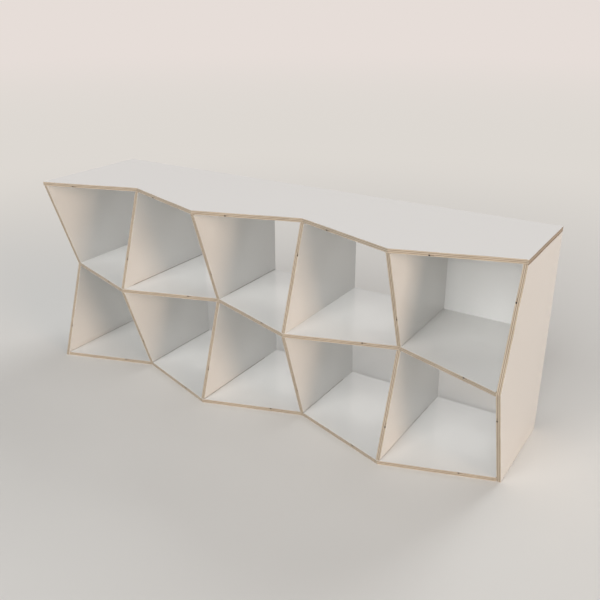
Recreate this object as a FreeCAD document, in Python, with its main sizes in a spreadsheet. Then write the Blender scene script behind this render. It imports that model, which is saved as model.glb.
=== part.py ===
import FreeCAD, Part
import math
import operator
import os
import Sketcher

# Low zigzag bookshelf of white laminated plywood: five bays, two tiers of cells.
# Horizontal boards and uprights stand on a regular grid of centre planes. Where a board crosses an
# upright the front is deep or shallow by turns, like the fields of a checkerboard, and each front
# edge runs straight from one crossing to the next. Hidden beech biscuits join the boards.
# Frame: +Z up, front towards -Y, origin on the floor under the middle of the whole box.

# Driving sizes in millimetres
SIZES = {
    # grid of centre planes
    "column_pitch": 300,
    "level_pitch": 300,
    # laminated plywood
    "board_thickness": 12,
    # depth from the back at the crossings
    "deep_depth": 400,
    "shallow_depth": 300,
    # back panels, let into rebates in the boards around them
    "panel_thickness": 8,
    "rebate_width": 6,
    "panel_clearance": 0.25,
    # biscuits, and the round saw blade that plunges their slots
    "biscuit_width": 15,
    "biscuit_tip": 3,
    "biscuit_thickness": 4,
    "biscuit_inset": 60,
    "blade_radius": 50,
    "slot_bottom_gap": 0.5,
    "slot_side_clearance": 0.05,
    # how far a cut runs past the face that it opens
    "cut_overrun": 1,
}

BAYS = 5
TIERS = 2
BISCUITS_PER_JOINT = 2

# uprights that stand between the two sides
DIVIDER_COLUMNS = range(1, BAYS)

# cells closed by a back panel, as the column to their left and the board below them
UPPER_RIGHT_CELL = (BAYS - 1, TIERS - 1)
LOWER_LEFT_CELL = (0, 0)

doc = FreeCAD.newDocument("zigzag_bookshelf")


# Sizes that stay tied to the sheet

OPERATIONS = {"+": operator.add, "-": operator.sub, "*": operator.mul, "/": operator.truediv}


class Formula:
    """A value and the sheet formula that gives it, so that sizes add up like plain numbers."""

    def __init__(self, value, text):
        self.value = value
        self.text = text

    def __add__(self, other):
        return combined(self, "+", other)

    def __sub__(self, other):
        return combined(self, "-", other)

    def __neg__(self):
        return combined(0, "-", self)

    def __mul__(self, other):
        return combined(self, "*", other)

    def __rmul__(self, other):
        return combined(other, "*", self)

    def __truediv__(self, other):
        return combined(self, "/", other)


def as_formula(value):
    """A formula as it is, or a plain count made into one."""
    if isinstance(value, Formula):
        return value
    return Formula(value, str(value))


def combined(first, sign, second):
    """The formula of two values joined by an arithmetic sign."""
    first = as_formula(first)
    second = as_formula(second)
    value = OPERATIONS[sign](first.value, second.value)
    return Formula(value, f"({first.text} {sign} {second.text})")


def half_chord(radius, distance):
    """Half the length of a circle's chord that passes its centre at a distance."""
    square = radius * radius - distance * distance
    return Formula(math.sqrt(square.value), f"sqrt{square.text}")


def make_sheet():
    """Writes the driving sizes to the sheet and gives each one back as a formula."""
    sheet = doc.addObject("Spreadsheet::Sheet", "Sizes")
    formulas = {}
    for row, (alias, value) in enumerate(SIZES.items(), start=1):
        sheet.set(f"A{row}", alias.replace("_", " "))
        sheet.set(f"B{row}", str(value))
        sheet.setAlias(f"B{row}", alias)
        formulas[alias] = Formula(value, f"Sizes.{alias}")
    doc.recompute()
    return formulas


size = make_sheet()
zero = as_formula(0)
column_pitch = size["column_pitch"]
level_pitch = size["level_pitch"]
thickness = size["board_thickness"]
rebate_width = size["rebate_width"]

half_board = thickness / 2
cell_width = column_pitch - thickness
cell_height = level_pitch - thickness
overall_length = BAYS * column_pitch + thickness
inner_length = BAYS * column_pitch - thickness
side_height = TIERS * level_pitch

# distances behind the foremost line of the bookshelf
back = size["deep_depth"]
panel_front = back - size["panel_thickness"]
zigzag_step = size["deep_depth"] - size["shallow_depth"]

# a biscuit lies half in each of two boards, in slots that are a little deeper and wider than it;
# its arcs and theirs are round one centre, which stands off from the face that the blade enters
slot_width = size["biscuit_thickness"] + 2 * size["slot_side_clearance"]
slot_depth = size["biscuit_width"] / 2 + size["slot_bottom_gap"]
blade_standoff = size["blade_radius"] - slot_depth
half_slot_mouth = half_chord(size["blade_radius"], blade_standoff - size["cut_overrun"])
biscuit_radius = size["blade_radius"] - size["slot_bottom_gap"]
half_tip = size["biscuit_tip"] / 2
half_biscuit_length = half_chord(biscuit_radius, blade_standoff + half_tip)

# rows of biscuits, evenly spaced over the shallow depth; the joints above and below the middle shelf
# take every other row by turns, so that their slots never meet
ROW_COUNT = 2 * BISCUITS_PER_JOINT
row_spacing = (size["shallow_depth"] - 2 * size["biscuit_inset"]) / (ROW_COUNT - 1)
biscuit_rows = [back - size["biscuit_inset"] - index * row_spacing for index in range(ROW_COUNT)]
first_rows = biscuit_rows[0::2]
second_rows = biscuit_rows[1::2]


# The zigzag front

def front(column, level):
    """Front of the crossing of an upright with a horizontal board; level 0 is the bottom board."""
    is_deep = (column + level) % 2 == 0
    return zero if is_deep else zigzag_step


def front_beside(crossing_front, next_front, pitch):
    """Front of a board at the face of the one that it meets, half a board from their crossing."""
    return crossing_front + (next_front - crossing_front) * half_board / pitch


def board_front_beside(column, level, next_column):
    """Front of a horizontal board at the face of an upright."""
    return front_beside(front(column, level), front(next_column, level), column_pitch)


def upright_front_beside(column, level, next_level):
    """Front of an upright at the face of a horizontal board."""
    return front_beside(front(column, level), front(column, next_level), level_pitch)


# Places, measured from the left end, the foremost line and the floor of the bookshelf

def column_centre(column):
    """Centre plane of an upright."""
    return half_board + column * column_pitch


def level_centre(level):
    """Centre plane of a horizontal board."""
    return half_board + level * level_pitch


def cell_left(column):
    """Right face of the upright to the left of a cell."""
    return thickness + column * column_pitch


def cell_floor(level):
    """Upper face of the horizontal board below a cell."""
    return thickness + level * level_pitch


# Bodies and sketches

def new_body(name, x, y, z):
    """A sub-part's body, placed by its own origin."""
    body = doc.addObject("PartDesign::Body", name)
    body.Label = name
    place = {"x": x - overall_length / 2, "y": y - size["deep_depth"] / 2, "z": z}
    for axis, distance in place.items():
        body.setExpression(f"Placement.Base.{axis}", distance.text)
    return body


def origin_feature(body, role):
    """One of the body's own origin planes or axes."""
    return [feature for feature in body.Origin.OriginFeatures if feature.Role == role][0]


def new_sketch(body, name, plane_role, offset):
    """A sketch on one of the body's origin planes, moved along its normal by an offset."""
    sketch = body.newObject("Sketcher::SketchObject", f"{body.Name}_{name}")
    sketch.AttachmentSupport = [(origin_feature(body, plane_role), "")]
    sketch.MapMode = "FlatFace"
    sketch.setExpression("AttachmentOffset.Base.z", offset.text)
    return sketch


# directions in a sketch
RIGHT = (1, 0)
LEFT = (-1, 0)
UP = (0, 1)
DOWN = (0, -1)


def vector(place):
    """A place in a sketch, given as a pair of formulas, as plain numbers."""
    across, along = place
    return FreeCAD.Vector(across.value, along.value, 0)


def line(start, end):
    """A straight edge between two places."""
    return Part.LineSegment(vector(start), vector(end))


def arc(start, middle, end):
    """A round edge through three places, counterclockwise."""
    return Part.Arc(vector(start), vector(middle), vector(end))


def hold_end(sketch, edge, place):
    """Holds the far end of an edge at its place, on an axis where a formula is zero."""
    across, along = place
    for kind, axis, distance in (("DistanceX", -2, across), ("DistanceY", -1, along)):
        if distance.value == 0:
            sketch.addConstraint(Sketcher.Constraint("PointOnObject", edge, 2, axis))
        else:
            index = sketch.addConstraint(Sketcher.Constraint(kind, -1, 1, edge, 2, distance.value))
            sketch.setExpression(f"Constraints[{index}]", distance.text)


def hold_radius(sketch, edge, radius):
    """Holds an arc at a radius."""
    index = sketch.addConstraint(Sketcher.Constraint("Radius", edge, radius.value))
    sketch.setExpression(f"Constraints[{index}]", radius.text)


def close_outline(sketch, edges, ends):
    """Draws edges that follow each other round an outline, and holds the far end of each."""
    numbers = [sketch.addGeometry(edge) for edge in edges]
    for index, end in enumerate(ends):
        following = numbers[(index + 1) % len(numbers)]
        sketch.addConstraint(Sketcher.Constraint("Coincident", numbers[index], 2, following, 1))
        hold_end(sketch, numbers[index], end)
    return numbers


def draw_outline(sketch, corners):
    """A closed outline of straight edges through corners."""
    edges = [line(corners[index - 1], corner) for index, corner in enumerate(corners)]
    close_outline(sketch, edges, corners)


def draw_rectangle(sketch, left, right, low, high):
    """A rectangle between two places across and two places along the sketch."""
    draw_outline(sketch, [(left, low), (right, low), (right, high), (left, high)])


def beside(place, inward, lengthwise, inwards):
    """A point beside a place on a joint, so far along the joint and so far the way that inward points."""
    across, along = inward
    return (
        place[0] + along * lengthwise + across * inwards,
        place[1] - across * lengthwise + along * inwards,
    )


def draw_slot(sketch, place, inward):
    """A slot's outline: the saw blade's arc in the wood, closed by a straight line just outside it."""
    overrun = size["cut_overrun"]
    left = beside(place, inward, -half_slot_mouth, -overrun)
    right = beside(place, inward, half_slot_mouth, -overrun)
    deepest = beside(place, inward, zero, slot_depth)
    numbers = close_outline(sketch, [line(left, right), arc(right, deepest, left)], [right, left])
    hold_radius(sketch, numbers[1], size["blade_radius"])


def draw_biscuit(sketch, place, inward):
    """A biscuit's outline: two blunt tips joined by two arcs, one in each of the boards that it joins."""
    half_width = size["biscuit_width"] / 2
    corners = [
        beside(place, inward, half_biscuit_length, half_tip),
        beside(place, inward, -half_biscuit_length, half_tip),
        beside(place, inward, -half_biscuit_length, -half_tip),
        beside(place, inward, half_biscuit_length, -half_tip),
    ]
    edges = [
        line(corners[3], corners[0]),
        arc(corners[0], beside(place, inward, zero, half_width), corners[1]),
        line(corners[1], corners[2]),
        arc(corners[2], beside(place, inward, zero, -half_width), corners[3]),
    ]
    numbers = close_outline(sketch, edges, corners)
    for number in numbers[1::2]:
        hold_radius(sketch, number, biscuit_radius)


# Features

def pad(body, sketch, length):
    """Pads a sketch along its normal."""
    feature = body.newObject("PartDesign::Pad", f"{sketch.Name}_pad")
    feature.Profile = sketch
    feature.setExpression("Length", length.text)
    doc.recompute()
    return feature


def cut(body, sketch, depth):
    """Cuts a sketch out along its normal and makes sure that it takes wood away."""
    volume_before = body.Shape.Volume
    feature = body.newObject("PartDesign::Pocket", f"{sketch.Name}_cut")
    feature.Profile = sketch
    feature.Reversed = True
    feature.setExpression("Length", depth.text)
    doc.recompute()
    if body.Shape.Volume >= volume_before:
        raise RuntimeError(f"{feature.Name} cuts nothing")
    return feature


def repeat(body, feature, axis_role, pitch, count):
    """Repeats a feature along one of the body's axes."""
    pattern = body.newObject("PartDesign::LinearPattern", f"{feature.Name}_row")
    pattern.Originals = [feature]
    pattern.Direction = (origin_feature(body, axis_role), [""])
    pattern.Mode = "Spacing"
    pattern.Occurrences = count
    pattern.setExpression("Offset", pitch.text)
    body.Tip = pattern
    doc.recompute()
    return pattern


def cut_slots(body, name, plane_role, blade_plane, mouths):
    """Biscuit slots round a blade plane; each mouth is a place on a face and the way into the wood."""
    sketch = new_sketch(body, name, plane_role, blade_plane - slot_width / 2)
    for place, inward in mouths:
        draw_slot(sketch, place, inward)
    return cut(body, sketch, slot_width)


def cut_flat_rebate(body, name, low, cell_start):
    """A back panel's rebate in a horizontal board, over one cell, from its lower wall upwards."""
    sketch = new_sketch(body, name, "XY_Plane", low)
    left = cell_start - rebate_width
    right = cell_start + cell_width + rebate_width
    draw_rectangle(sketch, left, right, panel_front, back + size["cut_overrun"])
    cut(body, sketch, rebate_width + size["cut_overrun"])


def cut_upright_rebate(body, left, floor):
    """A back panel's rebate in an upright, over one cell, from its left wall to the right."""
    sketch = new_sketch(body, "rebate", "YZ_Plane", left)
    low = floor - rebate_width
    high = floor + cell_height + rebate_width
    draw_rectangle(sketch, panel_front, back + size["cut_overrun"], low, high)
    cut(body, sketch, rebate_width + size["cut_overrun"])


# rebates start this far from the lower or left face of their board, on either of its two sides
rebate_below = -size["cut_overrun"]
rebate_above = thickness - rebate_width


# Horizontal boards: x from the board's own left end, y from the foremost line, z from its underside

def pad_board(body, fronts, length):
    """A horizontal board behind its zigzag front edge, as thick as the plywood."""
    sketch = new_sketch(body, "outline", "XY_Plane", zero)
    draw_outline(sketch, fronts + [(length, back), (zero, back)])
    pad(body, sketch, thickness)


def make_top_board():
    """The top board lies over all the uprights, so its ends show."""
    body = new_body("top_board", zero, zero, side_height)
    crossings = [(column_centre(column), front(column, TIERS)) for column in range(BAYS + 1)]
    left_end = (zero, front(0, TIERS))
    right_end = (overall_length, front(BAYS, TIERS))
    pad_board(body, [left_end] + crossings + [right_end], overall_length)
    mouths = [((row, zero), UP) for row in first_rows]
    slots = cut_slots(body, "underside_slots", "YZ_Plane", column_centre(0), mouths)
    repeat(body, slots, "X_Axis", column_pitch, BAYS + 1)
    cut_flat_rebate(body, "underside_rebate", rebate_below, cell_left(UPPER_RIGHT_CELL[0]))
    return body


def make_inner_board(name, level):
    """A horizontal board between the two sides, with biscuit slots in its ends."""
    body = new_body(name, thickness, zero, level * level_pitch)
    left_end = (zero, board_front_beside(0, level, 1))
    right_end = (inner_length, board_front_beside(BAYS, level, BAYS - 1))
    crossings = [(column_centre(column) - thickness, front(column, level)) for column in DIVIDER_COLUMNS]
    pad_board(body, [left_end] + crossings + [right_end], inner_length)
    ends = ((zero, RIGHT), (inner_length, LEFT))
    mouths = [((end, row), inward) for end, inward in ends for row in first_rows]
    cut_slots(body, "end_slots", "XY_Plane", half_board, mouths)
    return body


def cut_divider_slots(body, name, rows, face, inward):
    """Biscuit slots for the dividers in one face of a horizontal board between the sides."""
    mouths = [((row, face), inward) for row in rows]
    first_divider = column_centre(DIVIDER_COLUMNS[0]) - thickness
    slots = cut_slots(body, name, "YZ_Plane", first_divider, mouths)
    repeat(body, slots, "X_Axis", column_pitch, len(DIVIDER_COLUMNS))


def make_middle_shelf():
    """The middle shelf carries the upper dividers and lies on the lower ones."""
    body = make_inner_board("middle_shelf", 1)
    cut_divider_slots(body, "upper_face_slots", first_rows, thickness, DOWN)
    cut_divider_slots(body, "underside_slots", second_rows, zero, UP)
    cut_flat_rebate(body, "upper_face_rebate", rebate_above, UPPER_RIGHT_CELL[0] * column_pitch)
    cut_flat_rebate(body, "underside_rebate", rebate_below, LOWER_LEFT_CELL[0] * column_pitch)
    return body


def make_bottom_board():
    """The bottom board lies on the floor between the sides and carries the lower dividers."""
    body = make_inner_board("bottom_board", 0)
    cut_divider_slots(body, "upper_face_slots", first_rows, thickness, DOWN)
    cut_flat_rebate(body, "upper_face_rebate", rebate_above, LOWER_LEFT_CELL[0] * column_pitch)
    return body


# Uprights: x from the left face, y from the foremost line, z from the lower end

def pad_upright(body, fronts, height):
    """An upright behind its bent front edge, as thick as the plywood."""
    sketch = new_sketch(body, "outline", "YZ_Plane", zero)
    draw_outline(sketch, fronts + [(back, height), (back, zero)])
    pad(body, sketch, thickness)


def make_side(name, column, inner_face, inward):
    """A side, from the floor to the top board, slotted for the top and for the inner boards."""
    body = new_body(name, column * column_pitch, zero, zero)
    crossings = [(front(column, level), level_centre(level)) for level in range(TIERS)]
    foot = (front(column, 0), zero)
    head = (upright_front_beside(column, TIERS, TIERS - 1), side_height)
    pad_upright(body, [foot] + crossings + [head], side_height)
    head_mouths = [((row, side_height), DOWN) for row in first_rows]
    cut_slots(body, "head_slots", "YZ_Plane", half_board, head_mouths)
    inner_mouths = [((inner_face, row), inward) for row in first_rows]
    slots = cut_slots(body, "inner_face_slots", "XY_Plane", level_centre(0), inner_mouths)
    repeat(body, slots, "Z_Axis", level_pitch, TIERS)
    return body


def make_sides():
    """The left and the right side, each with the rebate for the back panel that it holds."""
    left = make_side("left_side", 0, thickness, LEFT)
    cut_upright_rebate(left, rebate_above, cell_floor(LOWER_LEFT_CELL[1]))
    right = make_side("right_side", BAYS, zero, RIGHT)
    cut_upright_rebate(right, rebate_below, cell_floor(UPPER_RIGHT_CELL[1]))
    return [left, right]


def make_divider(name, column, level, head_rows):
    """A divider between two horizontal boards, with biscuit slots in its two ends."""
    body = new_body(name, column * column_pitch, zero, cell_floor(level))
    foot = (upright_front_beside(column, level, level + 1), zero)
    head = (upright_front_beside(column, level + 1, level), cell_height)
    pad_upright(body, [foot, head], cell_height)
    foot_mouths = [((row, zero), UP) for row in first_rows]
    head_mouths = [((row, cell_height), DOWN) for row in head_rows]
    cut_slots(body, "end_slots", "YZ_Plane", half_board, foot_mouths + head_mouths)
    return body


def make_dividers():
    """The lower and the upper dividers; those beside a closed cell hold its back panel too."""
    dividers = {}
    for level, (tier_name, head_rows) in enumerate((("lower", second_rows), ("upper", first_rows))):
        for column in DIVIDER_COLUMNS:
            name = f"{tier_name}_divider_{column}"
            dividers[column, level] = make_divider(name, column, level, head_rows)
    cut_upright_rebate(dividers[UPPER_RIGHT_CELL], rebate_above, zero)
    column, level = LOWER_LEFT_CELL
    cut_upright_rebate(dividers[column + 1, level], rebate_below, zero)
    return list(dividers.values())


# Back panels: x and z from the panel's own lower left corner, y from the back

def make_back_panel(name, cell):
    """A back panel that fills its cell and the rebates around it."""
    column, level = cell
    reach = rebate_width - size["panel_clearance"]
    body = new_body(name, cell_left(column) - reach, back, cell_floor(level) - reach)
    sketch = new_sketch(body, "outline", "XZ_Plane", zero)
    draw_rectangle(sketch, zero, cell_width + 2 * reach, zero, cell_height + 2 * reach)
    pad(body, sketch, size["panel_thickness"])
    return body


# Biscuits: each group is repeated along the joints that it lies in

def make_upright_biscuits(name, joint_height, rows, columns):
    """Biscuits that stand in the joints between uprights and one face of a horizontal board."""
    body = new_body(name, zero, zero, joint_height)
    near_face = column_centre(columns[0]) - size["biscuit_thickness"] / 2
    sketch = new_sketch(body, "outline", "YZ_Plane", near_face)
    for row in rows:
        draw_biscuit(sketch, (row, zero), UP)
    biscuits = pad(body, sketch, size["biscuit_thickness"])
    repeat(body, biscuits, "X_Axis", column_pitch, len(columns))
    return body


def make_side_biscuits(name, joint_left):
    """Biscuits that lie in the joints between a side and the ends of the inner boards."""
    body = new_body(name, joint_left, zero, zero)
    near_face = level_centre(0) - size["biscuit_thickness"] / 2
    sketch = new_sketch(body, "outline", "XY_Plane", near_face)
    for row in first_rows:
        draw_biscuit(sketch, (zero, row), RIGHT)
    biscuits = pad(body, sketch, size["biscuit_thickness"])
    repeat(body, biscuits, "Z_Axis", level_pitch, TIERS)
    return body


def make_biscuits():
    """All the biscuits, grouped by the board that they join to its neighbours."""
    return [
        make_upright_biscuits("top_biscuits", side_height, first_rows, range(BAYS + 1)),
        make_upright_biscuits("upper_shelf_biscuits", cell_floor(1), first_rows, DIVIDER_COLUMNS),
        make_upright_biscuits("lower_shelf_biscuits", level_pitch, second_rows, DIVIDER_COLUMNS),
        make_upright_biscuits("bottom_biscuits", cell_floor(0), first_rows, DIVIDER_COLUMNS),
        make_side_biscuits("left_side_biscuits", thickness),
        make_side_biscuits("right_side_biscuits", overall_length - thickness),
    ]


# Checks and files

def check_document():
    """Stops the build if any object of the document failed."""
    for item in doc.Objects:
        if "Invalid" in item.State or "Error" in item.State:
            raise RuntimeError(f"{item.Name} failed: {item.State}")


def write_sub_part(body):
    """Writes one sub-part to its file, named by its label."""
    shape = body.Shape
    if shape.isNull() or not shape.isValid() or not shape.Solids:
        raise RuntimeError(f"{body.Label} has no valid shape")
    shape.exportStep(os.path.join("parts", f"{body.Label}.step"))
    print(f"{body.Label}: {len(shape.Solids)} solids, {shape.Volume:.1f} mm3")


sub_parts = [make_top_board(), make_middle_shelf(), make_bottom_board()]
sub_parts += make_sides()
sub_parts += make_dividers()
sub_parts.append(make_back_panel("upper_right_back_panel", UPPER_RIGHT_CELL))
sub_parts.append(make_back_panel("lower_left_back_panel", LOWER_LEFT_CELL))
sub_parts += make_biscuits()

doc.recompute()
check_document()
os.makedirs("parts", exist_ok=True)
for sub_part in sub_parts:
    write_sub_part(sub_part)
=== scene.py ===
"""Dresses the zigzag bookshelf in white laminate with bare birch edges, and sets it in a pale studio.

The boards keep the exact shape of their CAD solids, with slots and rebates. What is added here is what
a joiner's hands and the material give: eased arrises, a fine bevel where one board bears on another,
the voids that show in a plywood edge, and the finishes.
"""

import math

import bmesh
import bpy
from bpy.props import FloatProperty, FloatVectorProperty, PointerProperty
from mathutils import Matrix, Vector


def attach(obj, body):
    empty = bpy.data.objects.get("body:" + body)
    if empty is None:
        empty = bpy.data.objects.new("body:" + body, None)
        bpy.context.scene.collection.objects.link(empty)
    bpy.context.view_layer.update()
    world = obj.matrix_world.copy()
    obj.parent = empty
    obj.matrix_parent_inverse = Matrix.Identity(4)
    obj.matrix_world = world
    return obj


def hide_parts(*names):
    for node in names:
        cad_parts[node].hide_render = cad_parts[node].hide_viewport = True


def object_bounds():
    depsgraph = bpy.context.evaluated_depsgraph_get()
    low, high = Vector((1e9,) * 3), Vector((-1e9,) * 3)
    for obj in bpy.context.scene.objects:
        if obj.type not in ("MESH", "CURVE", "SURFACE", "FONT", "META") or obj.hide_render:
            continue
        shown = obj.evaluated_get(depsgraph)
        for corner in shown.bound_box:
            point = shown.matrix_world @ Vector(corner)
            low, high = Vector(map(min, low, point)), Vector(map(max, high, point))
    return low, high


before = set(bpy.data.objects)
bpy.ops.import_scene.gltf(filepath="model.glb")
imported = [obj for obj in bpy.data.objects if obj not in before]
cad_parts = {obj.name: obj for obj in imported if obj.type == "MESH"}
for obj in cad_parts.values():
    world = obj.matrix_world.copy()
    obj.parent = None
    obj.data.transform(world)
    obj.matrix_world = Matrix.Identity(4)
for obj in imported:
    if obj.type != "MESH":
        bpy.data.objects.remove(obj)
CAD_LOW, CAD_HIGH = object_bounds()

bl_info = {
    "name": "Zigzag bookshelf",
    "version": (1, 0, 0),
    "blender": (4, 5, 0),
    "location": "3D View > Sidebar > Bookshelf",
    "description": "Dresses the pieces of a zigzag bookshelf, and sets them in a studio",
    "category": "Object",
}

MM = 0.001
BODY = "root"

# The pieces, by the names of their CAD nodes. A board's thickness runs along Z, an upright's along X
# and a back panel's along Y.
ALONG_X = Vector((1, 0, 0))
ALONG_Y = Vector((0, 1, 0))
ALONG_Z = Vector((0, 0, 1))
SIDES = ("left_side", "right_side")
DIVIDERS = tuple(
    f"{tier}_divider_{number}"
    for tier in ("upper", "lower")
    for number in (1, 2, 3, 4)
)
BACK_PANELS = ("upper_right_back_panel", "lower_left_back_panel")
BISCUITS = tuple(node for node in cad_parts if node.endswith("_biscuits"))

CELL_PITCH = 300 * MM
BOARD_THICKNESS = 12 * MM

# Each stretch of edge, one cell long, shows one void with a thin tail. The void lies at a share of
# the stretch's length, off the middle of the board's thickness.
NEAR_START = 0.31
NEAR_END = 0.69
NEARER_END = 0.71
OFF_MIDDLE = 3.2 * MM
VOID_PLACES = {
    "top_board": (NEAR_START, -OFF_MIDDLE),
    "middle_shelf": (NEAR_END, OFF_MIDDLE),
    "bottom_board": (NEAR_END, OFF_MIDDLE),
    "right_side": (NEARER_END, -OFF_MIDDLE),
    "upper_divider_3": (NEARER_END, OFF_MIDDLE),
}
UPRIGHT_VOID = (NEAR_START, OFF_MIDDLE)
TAIL_HEIGHT_SHARE = 0.2     # of the void's height
TAIL_LENGTH_SHARE = 1.8     # of the void's length
TAIL_OFFSET_SHARE = 0.55    # of both lengths together, from the void's centre to its tail's
POCKET_CORNER_SHARE = 1 / 3    # of a pocket's lesser side, taken off at each corner
POCKET_TAPER_SHARE = 1 / 8     # of a pocket's height, by which its floor is smaller all round

WELD_DISTANCE = 0.001 * MM
SAME_PLANE = 0.01 * MM
SAME_DIRECTION = 0.99999    # least cosine for two directions to count as one
FACES_ALONG = 0.5           # least cosine for a face to count as facing along an axis
FULL_THICKNESS = 0.85       # a face that spans this share of a board's thickness is an edge of it
FLAT_ANGLE = math.radians(0.05)

LAMINATE, EDGE, END, VOID = 0, 1, 2, 3   # places in a board's list of materials
EDGE_MAP = "ply_edge"

# Inputs and output of a colour Mix node, by number, because sockets for other data share their names.
MIX_FACTOR, MIX_A, MIX_B, MIX_RESULT = 0, 6, 7, 2

# The softboxes, in metres. They hang far off, so that they light all cells of the row alike.
LAMP_AIM = Vector((0.0, 0.0, 0.3))
OVERHEAD = {"place": (0.0, 0.5, 8.0), "width": 5.0}
FRONT = {"place": (0.0, -15.0, 10.1), "width": 13.0}
LOW_FRONT = {"place": (1.6, -15.0, 4.1), "width": 5.2}
BACK = {"place": (3.2, 13.6, 11.7), "width": 7.2}
RIGHT = {"place": (12.0, -3.2, 2.6), "width": 5.2}

# The floor is a disc that reaches past everything a camera near the bookshelf can make out.
FLOOR_RADIUS = 70.0
FLOOR_SIDES = 96

# The camera that matches the photograph's view: a 36 mm wide sensor and a square picture.
SENSOR_WIDTH_MM = 36.0
LENS_MM = 44.24
CAMERA_PLACE = (1.15634, -1.70356, 1.18074)
CAMERA_TURN = (1.16851, 0.0, 0.56389)
CAMERA_REACH = 200.0


def linear(hex_colour):
    """Turns an sRGB hex colour into linear red, green and blue, by the curve of that standard."""
    channels = [int(hex_colour[i:i + 2], 16) / 255 for i in (1, 3, 5)]
    return tuple(c / 12.92 if c <= 0.04045 else ((c + 0.055) / 1.055) ** 2.4 for c in channels)


def length_property(name, description, millimetres):
    return FloatProperty(
        name=name,
        description=description,
        default=millimetres * MM,
        min=0.0,
        unit="LENGTH",
        subtype="DISTANCE",
        precision=5,
    )


def colour_property(name, description, hex_colour):
    return FloatVectorProperty(
        name=name,
        description=description,
        default=linear(hex_colour),
        min=0.0,
        max=1.0,
        subtype="COLOR",
    )


def power_property(name, description, watts):
    return FloatProperty(name=name, description=description, default=watts, min=0.0, unit="POWER")


class BookshelfBoards(bpy.types.PropertyGroup):
    """Sizes of the work on the boards that the CAD solids leave out."""

    arris: length_property(
        "Arris", "How far the sharp arrises of the boards are sanded back", 0.5)
    joint_bevel: length_property(
        "Joint bevel", "Bevel on the ends that bear on other boards, a fine groove", 2.0)
    void_length: length_property(
        "Void length", "Length of a void in the plywood's core, along the edge", 4.6)
    void_height: length_property(
        "Void height", "Height of a void, across the edge", 3.4)
    void_depth: length_property(
        "Void depth", "How deep a void goes into the edge", 6.0)


class BookshelfFinishes(bpy.types.PropertyGroup):
    """Colours of the materials."""

    laminate: colour_property(
        "Laminate", "White of the laminate on the boards' faces", "#E6E5E2")
    laminate_mottle: colour_property(
        "Laminate mottle", "Slightly deeper white where the paper is denser", "#E2E1DE")
    kraft: colour_property(
        "Kraft core", "Brown paper core of the laminate, seen as a line at its edge", "#8E7C68")
    long_ply: colour_property(
        "Long ply", "Birch plies whose grain runs along the edge", "#BDAF9B")
    cross_ply: colour_property(
        "Cross ply", "Birch plies that show their end grain, which drinks the lacquer", "#887969")
    # Painted shade: the void's near-black stands in for the little light that gets into the hollow.
    void: colour_property(
        "Void", "Dark inside of a core void", "#1C160F")
    beech: colour_property(
        "Beech", "Pressed beech of the biscuits", "#C49A6C")
    beech_fleck: colour_property(
        "Beech fleck", "Short darker flecks in beech", "#9A7348")


class BookshelfStage(bpy.types.PropertyGroup):
    """Floor, ambient light and lamps of the studio."""

    floor: colour_property(
        "Floor", "Paint of the floor", "#DEDCD8")
    floor_behind: colour_property(
        "Floor behind", "How the floor looks some metres away", "#DDD8D2")
    backdrop: colour_property(
        "Backdrop", "How the floor looks in the distance, and what lies beyond it", "#E6DDD8")
    ambient: FloatProperty(
        name="Ambient", description="Strength of the even light from all round", default=0.1, min=0.0)
    cool_white: colour_property(
        "Cool white", "Colour of the even light and of most lamps", "#FBFDFF")
    warm_white: colour_property(
        "Warm white", "Colour of the right lamp", "#FFE2C9")
    overhead: power_property(
        "Overhead lamp", "Wide softbox over the bookshelf", 90.0)
    front: power_property(
        "Front lamp", "High softbox in front", 2240.0)
    front_low: power_property(
        "Low front lamp", "Softbox in front that reaches into the cells", 460.0)
    back: power_property(
        "Back lamp", "High softbox behind", 940.0)
    right: power_property(
        "Right lamp", "Warm low softbox at the right", 695.0)


# Materials

def add_node(tree, kind, settings=None, sockets=None):
    """Adds a shader node. An input, by name or number, takes a value or the output that feeds it."""
    node = tree.nodes.new(kind)
    for name, value in (settings or {}).items():
        setattr(node, name, value)
    for key, value in (sockets or {}).items():
        if isinstance(value, bpy.types.NodeSocket):
            tree.links.new(value, node.inputs[key])
        else:
            node.inputs[key].default_value = value
    return node


def blank_material(name):
    """A material of that name with no nodes yet, made afresh or emptied."""
    material = bpy.data.materials.get(name) or bpy.data.materials.new(name)
    material.use_nodes = True
    material.node_tree.nodes.clear()
    return material


def opaque(colour):
    return (*colour, 1.0)


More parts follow.
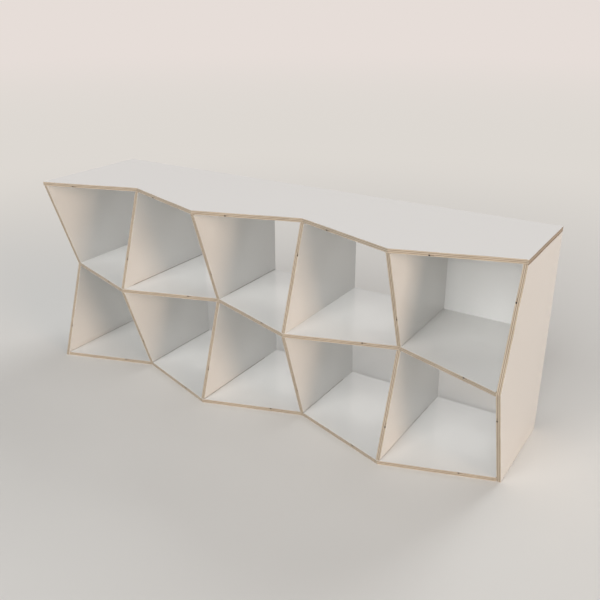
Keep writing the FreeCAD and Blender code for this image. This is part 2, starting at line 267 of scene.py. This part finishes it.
def white_laminate():
    """High-pressure laminate: white paper under melamine, pressed against a satin plate.

    To the eye it is an even, near-white sheet that mirrors bright things softly. Close up, the paper's
    fibres mottle it very slightly, and the plate leaves a fine pearl. Both are drawn several times
    their real size of about 0.5 mm, so that they show at all.
    """
    colours = bpy.context.scene.bookshelf_finishes
    mottle_size = 2.5 * MM
    pearl_size = 4.0 * MM
    pearl_height = 0.001 * MM
    least_roughness = 0.15
    most_roughness = 0.21
    melamine_ior = 1.65
    material = blank_material("white_laminate")
    tree = material.node_tree
    place = add_node(tree, "ShaderNodeTexCoord").outputs["Object"]
    mottle = add_node(tree, "ShaderNodeTexNoise", sockets={
        "Vector": place, "Scale": 1 / mottle_size, "Detail": 2.0,
    })
    tone = add_node(tree, "ShaderNodeMix", {"data_type": "RGBA"}, {
        MIX_FACTOR: mottle.outputs["Fac"],
        MIX_A: opaque(colours.laminate),
        MIX_B: opaque(colours.laminate_mottle),
    })
    pearl = add_node(tree, "ShaderNodeTexNoise", sockets={
        "Vector": place, "Scale": 1 / pearl_size, "Detail": 1.0,
    })
    sheen = add_node(tree, "ShaderNodeMapRange", sockets={
        "Value": pearl.outputs["Fac"], "To Min": least_roughness, "To Max": most_roughness,
    })
    relief = add_node(tree, "ShaderNodeBump", sockets={
        "Strength": 0.25, "Distance": pearl_height, "Height": pearl.outputs["Fac"],
    })
    surface = add_node(tree, "ShaderNodeBsdfPrincipled", sockets={
        "Base Color": tone.outputs[MIX_RESULT],
        "Roughness": sheen.outputs["Result"],
        "IOR": melamine_ior,
        "Normal": relief.outputs["Normal"],
    })
    add_node(tree, "ShaderNodeOutputMaterial", sockets={"Surface": surface.outputs["BSDF"]})
    return material


def lay_up(ramp, outer_ply, inner_ply):
    """Sets a colour ramp to a board's layers: laminate and its core at both ends, plies between."""
    colours = bpy.context.scene.bookshelf_finishes
    skin = 0.3 * MM
    kraft_line = 0.7 * MM
    ply_count = 5
    first_ply = (skin + kraft_line) / BOARD_THICKNESS
    step = (1 - 2 * first_ply) / ply_count
    stops = [(skin / BOARD_THICKNESS, colours.kraft)]
    for number in range(ply_count):
        ply = inner_ply if number % 2 else outer_ply
        stops.append((first_ply + number * step, ply))
    stops.append((1 - first_ply, colours.kraft))
    stops.append((1 - skin / BOARD_THICKNESS, colours.laminate))
    ramp.interpolation = "CONSTANT"
    ramp.elements[0].position = 0.0
    ramp.elements[0].color = opaque(colours.laminate)
    ramp.elements.remove(ramp.elements[1])
    for position, colour in stops:
        ramp.elements.new(position).color = opaque(colour)


def ply_stripes(tree, place, outer_ply, inner_ply):
    """Colour of the layers across an edge. Plies are not quite straight, so they waver along it."""
    waver_length = 90 * MM
    waver = 0.5 * MM
    drift = add_node(tree, "ShaderNodeTexNoise", sockets={
        "Vector": place, "Scale": 1 / waver_length, "Detail": 1.0,
    })
    shift = add_node(tree, "ShaderNodeMapRange", sockets={
        "Value": drift.outputs["Fac"],
        "To Min": -waver / BOARD_THICKNESS,
        "To Max": waver / BOARD_THICKNESS,
    })
    across = add_node(tree, "ShaderNodeSeparateXYZ", sockets={"Vector": place})
    share = add_node(tree, "ShaderNodeMath", {"operation": "MULTIPLY_ADD"}, {
        0: across.outputs["Y"], 1: 1 / BOARD_THICKNESS, 2: shift.outputs["Result"],
    })
    layers = add_node(tree, "ShaderNodeValToRGB", sockets={"Fac": share.outputs["Value"]})
    lay_up(layers.color_ramp, outer_ply, inner_ply)
    return layers.outputs["Color"]


def birch_grain(tree, place):
    """Streaks along an edge, and the shade that they and wider patches give it.

    Birch has pores of about 0.1 mm. The streaks are drawn far wider, so that they show.
    """
    streak_length = 70 * MM
    streak_width = 2.4 * MM
    streak_contrast = 0.28
    patch_length = 110 * MM
    patch_contrast = 0.15
    along_grain = add_node(tree, "ShaderNodeMapping", sockets={
        "Vector": place, "Scale": (1 / streak_length, 1 / streak_width, 1.0),
    })
    streaks = add_node(tree, "ShaderNodeTexNoise", sockets={
        "Vector": along_grain.outputs["Vector"], "Scale": 1.0, "Detail": 3.0,
    })
    streak_tone = add_node(tree, "ShaderNodeMapRange", sockets={
        "Value": streaks.outputs["Fac"],
        "To Min": 1 - streak_contrast,
        "To Max": 1 + streak_contrast,
    })
    patches = add_node(tree, "ShaderNodeTexNoise", sockets={
        "Vector": place, "Scale": 1 / patch_length, "Detail": 2.0,
    })
    patch_tone = add_node(tree, "ShaderNodeMapRange", sockets={
        "Value": patches.outputs["Fac"],
        "To Min": 1 - patch_contrast,
        "To Max": 1 + patch_contrast,
    })
    shade = add_node(tree, "ShaderNodeMath", {"operation": "MULTIPLY"}, {
        0: streak_tone.outputs["Result"], 1: patch_tone.outputs["Result"],
    })
    return streaks.outputs["Fac"], shade.outputs["Value"]


def birch_edge(name, outer_ply, inner_ply):
    """Birch plywood edge, sawn, sanded and lacquered clear and matt, between two sheets of laminate.

    To the eye it is a band of tan stripes: light plies with their grain along the edge, and between
    them darker plies that show their end grain. At a board's end they change places, so the end looks
    darker. A line of the laminate's brown paper core runs along each arris.
    A 12 mm board has nine plies of 1.3 mm. They are drawn as five, because nine would blur into one
    tone.
    """
    streak_depth = 0.05 * MM
    lacquer_roughness = 0.55
    lacquer_ior = 1.5
    material = blank_material(name)
    tree = material.node_tree
    place = add_node(tree, "ShaderNodeUVMap", {"uv_map": EDGE_MAP}).outputs["UV"]
    stripes = ply_stripes(tree, place, outer_ply, inner_ply)
    streaks, shade = birch_grain(tree, place)
    tone = add_node(tree, "ShaderNodeVectorMath", {"operation": "SCALE"}, {
        "Vector": stripes, "Scale": shade,
    })
    relief = add_node(tree, "ShaderNodeBump", sockets={
        "Strength": 0.4, "Distance": streak_depth, "Height": streaks,
    })
    surface = add_node(tree, "ShaderNodeBsdfPrincipled", sockets={
        "Base Color": tone.outputs["Vector"],
        "Roughness": lacquer_roughness,
        "IOR": lacquer_ior,
        "Normal": relief.outputs["Normal"],
    })
    add_node(tree, "ShaderNodeOutputMaterial", sockets={"Surface": surface.outputs["BSDF"]})
    return material


def core_void():
    """Hollow in a core veneer, where a knot fell out.

    To the eye it is torn birch with lighter fibres; its near-black is painted shade of the hollow.
    They are drawn as bundles, because single ones are too fine to show.
    """
    colours = bpy.context.scene.bookshelf_finishes
    fibre_size = 0.8 * MM
    fibre_gain = 2
    torn_roughness = 0.9
    material = blank_material("birch_core_void_painted_shade")
    tree = material.node_tree
    place = add_node(tree, "ShaderNodeTexCoord").outputs["Object"]
    fibres = add_node(tree, "ShaderNodeTexNoise", sockets={
        "Vector": place, "Scale": 1 / fibre_size, "Detail": 2.0,
    })
    # Painted shade: the fibres are only twice as light as the near-black of the hollow.
    tone = add_node(tree, "ShaderNodeMix", {"data_type": "RGBA"}, {
        MIX_FACTOR: fibres.outputs["Fac"],
        MIX_A: opaque(colours.void),
        MIX_B: opaque([channel * fibre_gain for channel in colours.void]),
    })
    surface = add_node(tree, "ShaderNodeBsdfPrincipled", sockets={
        "Base Color": tone.outputs[MIX_RESULT], "Roughness": torn_roughness,
    })
    add_node(tree, "ShaderNodeOutputMaterial", sockets={"Surface": surface.outputs["BSDF"]})
    return material


def pressed_beech():
    """Beech biscuit, die-cut and pressed.

    To the eye it is pale reddish brown with short dark flecks that run across it at a slant.
    """
    colours = bpy.context.scene.bookshelf_finishes
    fleck_length = 6 * MM
    fleck_width = 0.7 * MM
    slant = math.radians(45)
    pressed_roughness = 0.65
    material = blank_material("pressed_beech")
    tree = material.node_tree
    place = add_node(tree, "ShaderNodeTexCoord").outputs["Object"]
    slanted = add_node(tree, "ShaderNodeMapping", sockets={
        "Vector": place,
        "Rotation": (slant, slant, 0.0),
        "Scale": (1 / fleck_width, 1 / fleck_length, 1 / fleck_width),
    })
    flecks = add_node(tree, "ShaderNodeTexNoise", sockets={
        "Vector": slanted.outputs["Vector"], "Scale": 1.0, "Detail": 2.0,
    })
    tone = add_node(tree, "ShaderNodeMix", {"data_type": "RGBA"}, {
        MIX_FACTOR: flecks.outputs["Fac"],
        MIX_A: opaque(colours.beech),
        MIX_B: opaque(colours.beech_fleck),
    })
    surface = add_node(tree, "ShaderNodeBsdfPrincipled", sockets={
        "Base Color": tone.outputs[MIX_RESULT], "Roughness": pressed_roughness,
    })
    add_node(tree, "ShaderNodeOutputMaterial", sockets={"Surface": surface.outputs["BSDF"]})
    return material


# Boards

def fresh_object(name, data):
    """Links a new object of that name, in place of one that an earlier run of the operator left."""
    earlier = bpy.data.objects.get(name)
    if earlier:
        bpy.data.objects.remove(earlier)
    made = bpy.data.objects.new(name, data)
    bpy.context.scene.collection.objects.link(made)
    return made


def welded_copy(node):
    """The CAD node's triangles as one closed mesh, with its flat faces joined up again."""
    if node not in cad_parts:
        raise RuntimeError(f"the packed model has no node named {node}")
    board = bmesh.new()
    board.from_mesh(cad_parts[node].data)
    bmesh.ops.remove_doubles(board, verts=board.verts, dist=WELD_DISTANCE)
    bmesh.ops.dissolve_limit(board, angle_limit=FLAT_ANGLE, verts=board.verts, edges=board.edges)
    board.normal_update()
    return board


def extent(points, axis):
    """Lowest and highest place of the points along an axis."""
    places = [point.dot(axis) for point in points]
    return min(places), max(places)


def spans(face, axis, low, high):
    """Whether a face stands square to the board's faces and reaches through its thickness."""
    start, end = extent([vert.co for vert in face.verts], axis)
    is_square = abs(face.normal.dot(axis)) < FACES_ALONG
    return is_square and end - start > FULL_THICKNESS * (high - low)


def is_open(face):
    """Whether a board's edge face stays in sight: at the front, at the back, or on the outside."""
    if abs(face.normal.dot(ALONG_Y)) > FACES_ALONG:
        return True
    centre = face.calc_center_median()
    for axis in range(3):
        off_outside = min(centre[axis] - CAD_LOW[axis], CAD_HIGH[axis] - centre[axis])
        if abs(face.normal[axis]) > FACES_ALONG and off_outside < SAME_PLANE:
            return True
    return False


def arrises_of(board, axis, low, high, is_wanted):
    """The arrises between the laminate and those edges of a board that a test picks out."""
    found = []
    for edge in board.edges:
        if len(edge.link_faces) != 2 or not edge.is_convex:
            continue
        ends = [
            face for face in edge.link_faces
            if spans(face, axis, low, high) and is_wanted(face)
        ]
        flat = [face for face in edge.link_faces if abs(face.normal.dot(axis)) > FACES_ALONG]
        place = edge.verts[0].co.dot(axis)
        if ends and flat and min(place - low, high - place) < SAME_PLANE:
            found.append(edge)
    return found


def ease_arrises(board, axis, low, high, sizes):
    """Bevels the ends that bear on other boards, and sands back the arrises of the open edges."""
    bearing = arrises_of(board, axis, low, high, lambda face: not is_open(face))
    bmesh.ops.bevel(
        board, geom=bearing, offset=sizes.joint_bevel, segments=1, profile=0.5,
        affect="EDGES", material=-1, clamp_overlap=True,
    )
    board.normal_update()
    open_arrises = arrises_of(board, axis, low, high, is_open)
    bmesh.ops.bevel(
        board, geom=open_arrises, offset=sizes.arris, segments=2, profile=0.5,
        affect="EDGES", material=-1, clamp_overlap=True,
    )
    board.normal_update()


def sink_pocket(board, face, centre, along, across, length, height, depth):
    """Cuts a rectangle round a point out of a face, rounds its corners and sinks it into the board."""
    reaches = (
        (along, length / 2),
        (-along, length / 2),
        (across, height / 2),
        (-across, height / 2),
    )
    for direction, reach in reaches:
        halves = bmesh.ops.bisect_plane(
            board,
            geom=[face, *face.edges, *face.verts],
            plane_co=centre + direction * reach,
            plane_no=direction,
        )
        face = next(
            half for half in halves["geom"]
            if isinstance(half, bmesh.types.BMFace)
            and bmesh.geometry.intersect_face_point(half, centre)
        )
    corner = min(length, height) * POCKET_CORNER_SHARE
    bmesh.ops.bevel(
        board, geom=list(face.verts), offset=corner, segments=2, profile=0.5,
        affect="VERTICES", material=-1,
    )
    face = min(board.faces, key=lambda other: (other.calc_center_median() - centre).length)
    walls = bmesh.ops.inset_individual(
        board, faces=[face], thickness=height * POCKET_TAPER_SHARE, depth=-depth,
        use_even_offset=True,
    )
    # The pocket takes the void's material, whose near-black colour is painted shade.
    for wall in (face, *walls["faces"]):
        wall.material_index = VOID


def carrier_at(board, point, normal):
    """The face with that normal that a point lies on, or None."""
    for face in board.faces:
        off_plane = abs((face.calc_center_median() - point).dot(normal))
        if face.normal.dot(normal) > SAME_DIRECTION and off_plane < SAME_PLANE:
            if bmesh.geometry.intersect_face_point(face, point):
                return face
    return None


def cut_voids(board, node, axis, low, high, sizes):
    """Opens the voids of the plywood's core in a board's front and back edges."""
    share, off_middle = VOID_PLACES.get(node, UPRIGHT_VOID)
    level = (low + high) / 2 + off_middle
    tail_length = sizes.void_length * TAIL_LENGTH_SHARE
    tail_height = sizes.void_height * TAIL_HEIGHT_SHARE
    tail_offset = (sizes.void_length + tail_length) * TAIL_OFFSET_SHARE
    edges = [
        face for face in board.faces
        if spans(face, axis, low, high) and abs(face.normal.dot(ALONG_Y)) > FACES_ALONG
    ]
    for edge_face in edges:
        along = axis.cross(edge_face.normal).normalized()
        if along.dot(ALONG_X + ALONG_Z) < 0:
            along = -along
        start, end = extent([vert.co for vert in edge_face.verts], along)
        normal = edge_face.normal.copy()
        plane = edge_face.calc_center_median().dot(normal)
        stretches = round((end - start) / CELL_PITCH)
        for number in range(stretches):
            place = start + (end - start) * (number + share) / stretches
            centre = along * place + axis * level + normal * plane
            tail_side = along if number % 2 == 0 else -along
            tail_centre = centre + tail_side * tail_offset
            pockets = (
                (centre, sizes.void_length, sizes.void_height),
                (tail_centre, tail_length, tail_height),
            )
            for point, length, height in pockets:
                carrier = carrier_at(board, point, normal)
                if carrier:
                    sink_pocket(
                        board, carrier, point, along, axis, length, height, sizes.void_depth)


def give_finishes(board, axis, low, high):
    """Lays laminate on the two large faces and birch on the rest, mapped along its plies."""
    edge_map = board.loops.layers.uv.new(EDGE_MAP)
    for face in board.faces:
        place = face.calc_center_median().dot(axis)
        is_flat = abs(face.normal.dot(axis)) > SAME_DIRECTION
        along = axis.cross(face.normal).normalized()
        if is_flat and min(place - low, high - place) < SAME_PLANE:
            face.material_index = LAMINATE
        elif face.material_index != VOID:
            face.material_index = END if abs(along.dot(ALONG_Y)) > FACES_ALONG else EDGE
        for loop in face.loops:
            loop[edge_map].uv = (loop.vert.co.dot(along), loop.vert.co.dot(axis) - low)


def board_finishes():
    """A board's materials, in the order of their places in its list."""
    colours = bpy.context.scene.bookshelf_finishes
    return (
        white_laminate(),
        birch_edge("birch_plywood_edge", colours.long_ply, colours.cross_ply),
        birch_edge("birch_plywood_end", colours.cross_ply, colours.long_ply),
        core_void(),
    )


def dress_board(node, axis, has_voids=True):
    """Makes the finished piece that stands for one board of the CAD model."""
    sizes = bpy.context.scene.bookshelf_boards
    board = welded_copy(node)
    low, high = extent([vert.co for vert in board.verts], axis)
    ease_arrises(board, axis, low, high, sizes)
    if has_voids:
        cut_voids(board, node, axis, low, high, sizes)
    bmesh.ops.dissolve_degenerate(board, dist=WELD_DISTANCE, edges=board.edges)
    give_finishes(board, axis, low, high)
    mesh = bpy.data.meshes.new(f"laminated_{node}")
    board.to_mesh(mesh)
    board.free()
    for material in board_finishes():
        mesh.materials.append(material)
    piece = fresh_object(f"laminated_{node}", mesh)
    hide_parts(node)
    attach(piece, BODY)


class BOOKSHELF_OT_top_board(bpy.types.Operator):
    """Dress the top board, which lies over the sides and the upper dividers"""

    bl_idname = "bookshelf.top_board"
    bl_label = "Top board"
    bl_options = {"REGISTER", "UNDO"}

    def execute(self, context):
        dress_board("top_board", ALONG_Z)
        return {"FINISHED"}


class BOOKSHELF_OT_middle_shelf(bpy.types.Operator):
    """Dress the middle shelf, which runs from side to side"""

    bl_idname = "bookshelf.middle_shelf"
    bl_label = "Middle shelf"
    bl_options = {"REGISTER", "UNDO"}

    def execute(self, context):
        dress_board("middle_shelf", ALONG_Z)
        return {"FINISHED"}


class BOOKSHELF_OT_bottom_board(bpy.types.Operator):
    """Dress the bottom board, which lies on the floor"""

    bl_idname = "bookshelf.bottom_board"
    bl_label = "Bottom board"
    bl_options = {"REGISTER", "UNDO"}

    def execute(self, context):
        dress_board("bottom_board", ALONG_Z)
        return {"FINISHED"}


class BOOKSHELF_OT_sides(bpy.types.Operator):
    """Dress the left and the right side"""

    bl_idname = "bookshelf.sides"
    bl_label = "Sides"
    bl_options = {"REGISTER", "UNDO"}

    def execute(self, context):
        for node in SIDES:
            dress_board(node, ALONG_X)
        return {"FINISHED"}


class BOOKSHELF_OT_dividers(bpy.types.Operator):
    """Dress the eight dividers between the boards"""

    bl_idname = "bookshelf.dividers"
    bl_label = "Dividers"
    bl_options = {"REGISTER", "UNDO"}

    def execute(self, context):
        for node in DIVIDERS:
            dress_board(node, ALONG_X)
        return {"FINISHED"}


class BOOKSHELF_OT_back_panels(bpy.types.Operator):
    """Dress the two back panels, which lie in rebates"""

    bl_idname = "bookshelf.back_panels"
    bl_label = "Back panels"
    bl_options = {"REGISTER", "UNDO"}

    def execute(self, context):
        for node in BACK_PANELS:
            dress_board(node, ALONG_Y, has_voids=False)
        return {"FINISHED"}


class BOOKSHELF_OT_biscuits(bpy.types.Operator):
    """Give the hidden biscuits their beech"""

    bl_idname = "bookshelf.biscuits"
    bl_label = "Biscuits"
    bl_options = {"REGISTER", "UNDO"}

    def execute(self, context):
        beech = pressed_beech()
        for node in BISCUITS:
            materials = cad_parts[node].data.materials
            materials.clear()
            materials.append(beech)
        return {"FINISHED"}


# Studio

def seen_rays(tree):
    """Output that is 1 for what the eye, a gloss or a glass sees, and 0 for light that spreads."""
    path = add_node(tree, "ShaderNodeLightPath")
    seen = path.outputs["Is Camera Ray"]
    for ray in ("Is Glossy Ray", "Is Transmission Ray"):
        either = add_node(tree, "ShaderNodeMath", {"operation": "MAXIMUM"}, {
            0: seen, 1: path.outputs[ray],
        })
        seen = either.outputs["Value"]
    return seen


def painted_floor():
    """Matt painted board.

    To the eye it is pale warm grey with a faint roller texture, drawn coarser than real so that it
    shows. Some metres off, the eye sees an even glow in place of the paint, so that the floor fades
    into the backdrop. Near the bookshelf the paint shows, with its shadow.
    """
    colours = bpy.context.scene.bookshelf_stage
    fade_centre = (0.3, -0.45, 0.0)
    paint_radius, fade_radius, far_radius = 0.8, 4.2, 14.0
    roller_size = 12 * MM
    roller_height = 0.05 * MM
    paint_roughness = 0.8
    paint_specular = 0.2
    material = blank_material("matt_painted_floor")
    tree = material.node_tree
    place = add_node(tree, "ShaderNodeTexCoord").outputs["Object"]
    roller = add_node(tree, "ShaderNodeTexNoise", sockets={
        "Vector": place, "Scale": 1 / roller_size, "Detail": 1.0,
    })
    relief = add_node(tree, "ShaderNodeBump", sockets={
        "Strength": 0.1, "Distance": roller_height, "Height": roller.outputs["Fac"],
    })
    paint = add_node(tree, "ShaderNodeBsdfPrincipled", sockets={
        "Base Color": opaque(colours.floor),
        "Roughness": paint_roughness,
        "Specular IOR Level": paint_specular,
        "Normal": relief.outputs["Normal"],
    })
    radius = add_node(tree, "ShaderNodeVectorMath", {"operation": "DISTANCE"}, {
        0: place, 1: fade_centre,
    })
    fade, distance = (
        add_node(tree, "ShaderNodeMapRange", {"interpolation_type": "SMOOTHSTEP"}, {
            "Value": radius.outputs["Value"], "From Min": start, "From Max": end,
        })
        for start, end in ((paint_radius, fade_radius), (fade_radius, far_radius))
    )
    tone = add_node(tree, "ShaderNodeMix", {"data_type": "RGBA"}, {
        MIX_FACTOR: distance.outputs["Result"],
        MIX_A: opaque(colours.floor_behind),
        MIX_B: opaque(colours.backdrop),
    })
    glow = add_node(tree, "ShaderNodeEmission", sockets={
        "Color": tone.outputs[MIX_RESULT], "Strength": 1.0,
    })
    share = add_node(tree, "ShaderNodeMath", {"operation": "MULTIPLY"}, {
        0: fade.outputs["Result"], 1: seen_rays(tree),
    })
    surface = add_node(tree, "ShaderNodeMixShader", sockets={
        "Fac": share.outputs["Value"], 1: paint.outputs["BSDF"], 2: glow.outputs["Emission"],
    })
    add_node(tree, "ShaderNodeOutputMaterial", sockets={"Surface": surface.outputs["Shader"]})
    return material


def lay_floor():
    """One wide disc under the bookshelf."""
    disc = bmesh.new()
    bmesh.ops.create_circle(disc, cap_ends=True, segments=FLOOR_SIDES, radius=FLOOR_RADIUS)
    mesh = bpy.data.meshes.new("studio_floor")
    disc.to_mesh(mesh)
    disc.free()
    mesh.materials.append(painted_floor())
    fresh_object("studio_floor", mesh)


def hang_softbox(name, power, colour, place, width):
    """A square softbox that faces the bookshelf, polarised so that it leaves no glare in a gloss."""
    lamp = bpy.data.lights.new(name, "AREA")
    lamp.shape = "SQUARE"
    lamp.size = width
    lamp.energy = power
    lamp.color = colour
    box = fresh_object(name, lamp)
    box.visible_glossy = False
    box.location = place
    box.rotation_euler = (LAMP_AIM - Vector(place)).to_track_quat("-Z", "Y").to_euler()


def light_world():
    """Even light from all round. The eye, gloss and glass see the backdrop's colour instead."""
    stage = bpy.context.scene.bookshelf_stage
    world = bpy.data.worlds.get("studio") or bpy.data.worlds.new("studio")
    world.use_nodes = True
    tree = world.node_tree
    tree.nodes.clear()
    even = add_node(tree, "ShaderNodeBackground", sockets={
        "Color": opaque(stage.cool_white), "Strength": stage.ambient,
    })
    shown = add_node(tree, "ShaderNodeBackground", sockets={
        "Color": opaque(stage.backdrop), "Strength": 1.0,
    })
    both = add_node(tree, "ShaderNodeMixShader", sockets={
        "Fac": seen_rays(tree), 1: even.outputs["Background"], 2: shown.outputs["Background"],
    })
    add_node(tree, "ShaderNodeOutputWorld", sockets={"Surface": both.outputs["Shader"]})
    bpy.context.scene.world = world


def set_camera():
    """The camera at the photograph's place and angle."""
    lens = bpy.data.cameras.new("camera")
    lens.sensor_width = SENSOR_WIDTH_MM
    lens.lens = LENS_MM
    lens.clip_end = CAMERA_REACH
    camera = fresh_object("camera", lens)
    camera.location = CAMERA_PLACE
    camera.rotation_euler = CAMERA_TURN
    bpy.context.scene.camera = camera


class BOOKSHELF_OT_stage(bpy.types.Operator):
    """Lay the floor, hang the lamps and set the camera"""

    bl_idname = "bookshelf.stage"
    bl_label = "Stage"
    bl_options = {"REGISTER", "UNDO"}

    def execute(self, context):
        stage = context.scene.bookshelf_stage
        lay_floor()
        light_world()
        hang_softbox("overhead_softbox", stage.overhead, stage.cool_white, **OVERHEAD)
        hang_softbox("front_softbox", stage.front, stage.cool_white, **FRONT)
        hang_softbox("low_front_softbox", stage.front_low, stage.cool_white, **LOW_FRONT)
        hang_softbox("back_softbox", stage.back, stage.cool_white, **BACK)
        hang_softbox("right_softbox", stage.right, stage.warm_white, **RIGHT)
        set_camera()
        context.scene.view_settings.view_transform = "Standard"
        return {"FINISHED"}


OPERATORS = (
    BOOKSHELF_OT_top_board,
    BOOKSHELF_OT_middle_shelf,
    BOOKSHELF_OT_bottom_board,
    BOOKSHELF_OT_sides,
    BOOKSHELF_OT_dividers,
    BOOKSHELF_OT_back_panels,
    BOOKSHELF_OT_biscuits,
    BOOKSHELF_OT_stage,
)


class BOOKSHELF_PT_sidebar(bpy.types.Panel):
    """Lists the bookshelf's sizes and colours, and the operators that make its pieces"""

    bl_idname = "BOOKSHELF_PT_sidebar"
    bl_label = "Zigzag bookshelf"
    bl_space_type = "VIEW_3D"
    bl_region_type = "UI"
    bl_category = "Bookshelf"

    def draw(self, context):
        scene = context.scene
        for group in (scene.bookshelf_boards, scene.bookshelf_finishes, scene.bookshelf_stage):
            box = self.layout.box()
            for name in group.__annotations__:
                box.prop(group, name)
        for operator in OPERATORS:
            self.layout.operator(operator.bl_idname)


GROUPS = {
    "bookshelf_boards": BookshelfBoards,
    "bookshelf_finishes": BookshelfFinishes,
    "bookshelf_stage": BookshelfStage,
}
CLASSES = (*GROUPS.values(), *OPERATORS, BOOKSHELF_PT_sidebar)


def register():
    for made in CLASSES:
        bpy.utils.register_class(made)
    for name, group in GROUPS.items():
        setattr(bpy.types.Scene, name, PointerProperty(type=group))


def unregister():
    for name in GROUPS:
        delattr(bpy.types.Scene, name)
    for made in reversed(CLASSES):
        bpy.utils.unregister_class(made)


def main():
    register()
    bpy.ops.bookshelf.top_board()
    bpy.ops.bookshelf.middle_shelf()
    bpy.ops.bookshelf.bottom_board()
    bpy.ops.bookshelf.sides()
    bpy.ops.bookshelf.dividers()
    bpy.ops.bookshelf.back_panels()
    bpy.ops.bookshelf.biscuits()
    bpy.ops.bookshelf.stage()


if __name__ == "__main__":
    main()
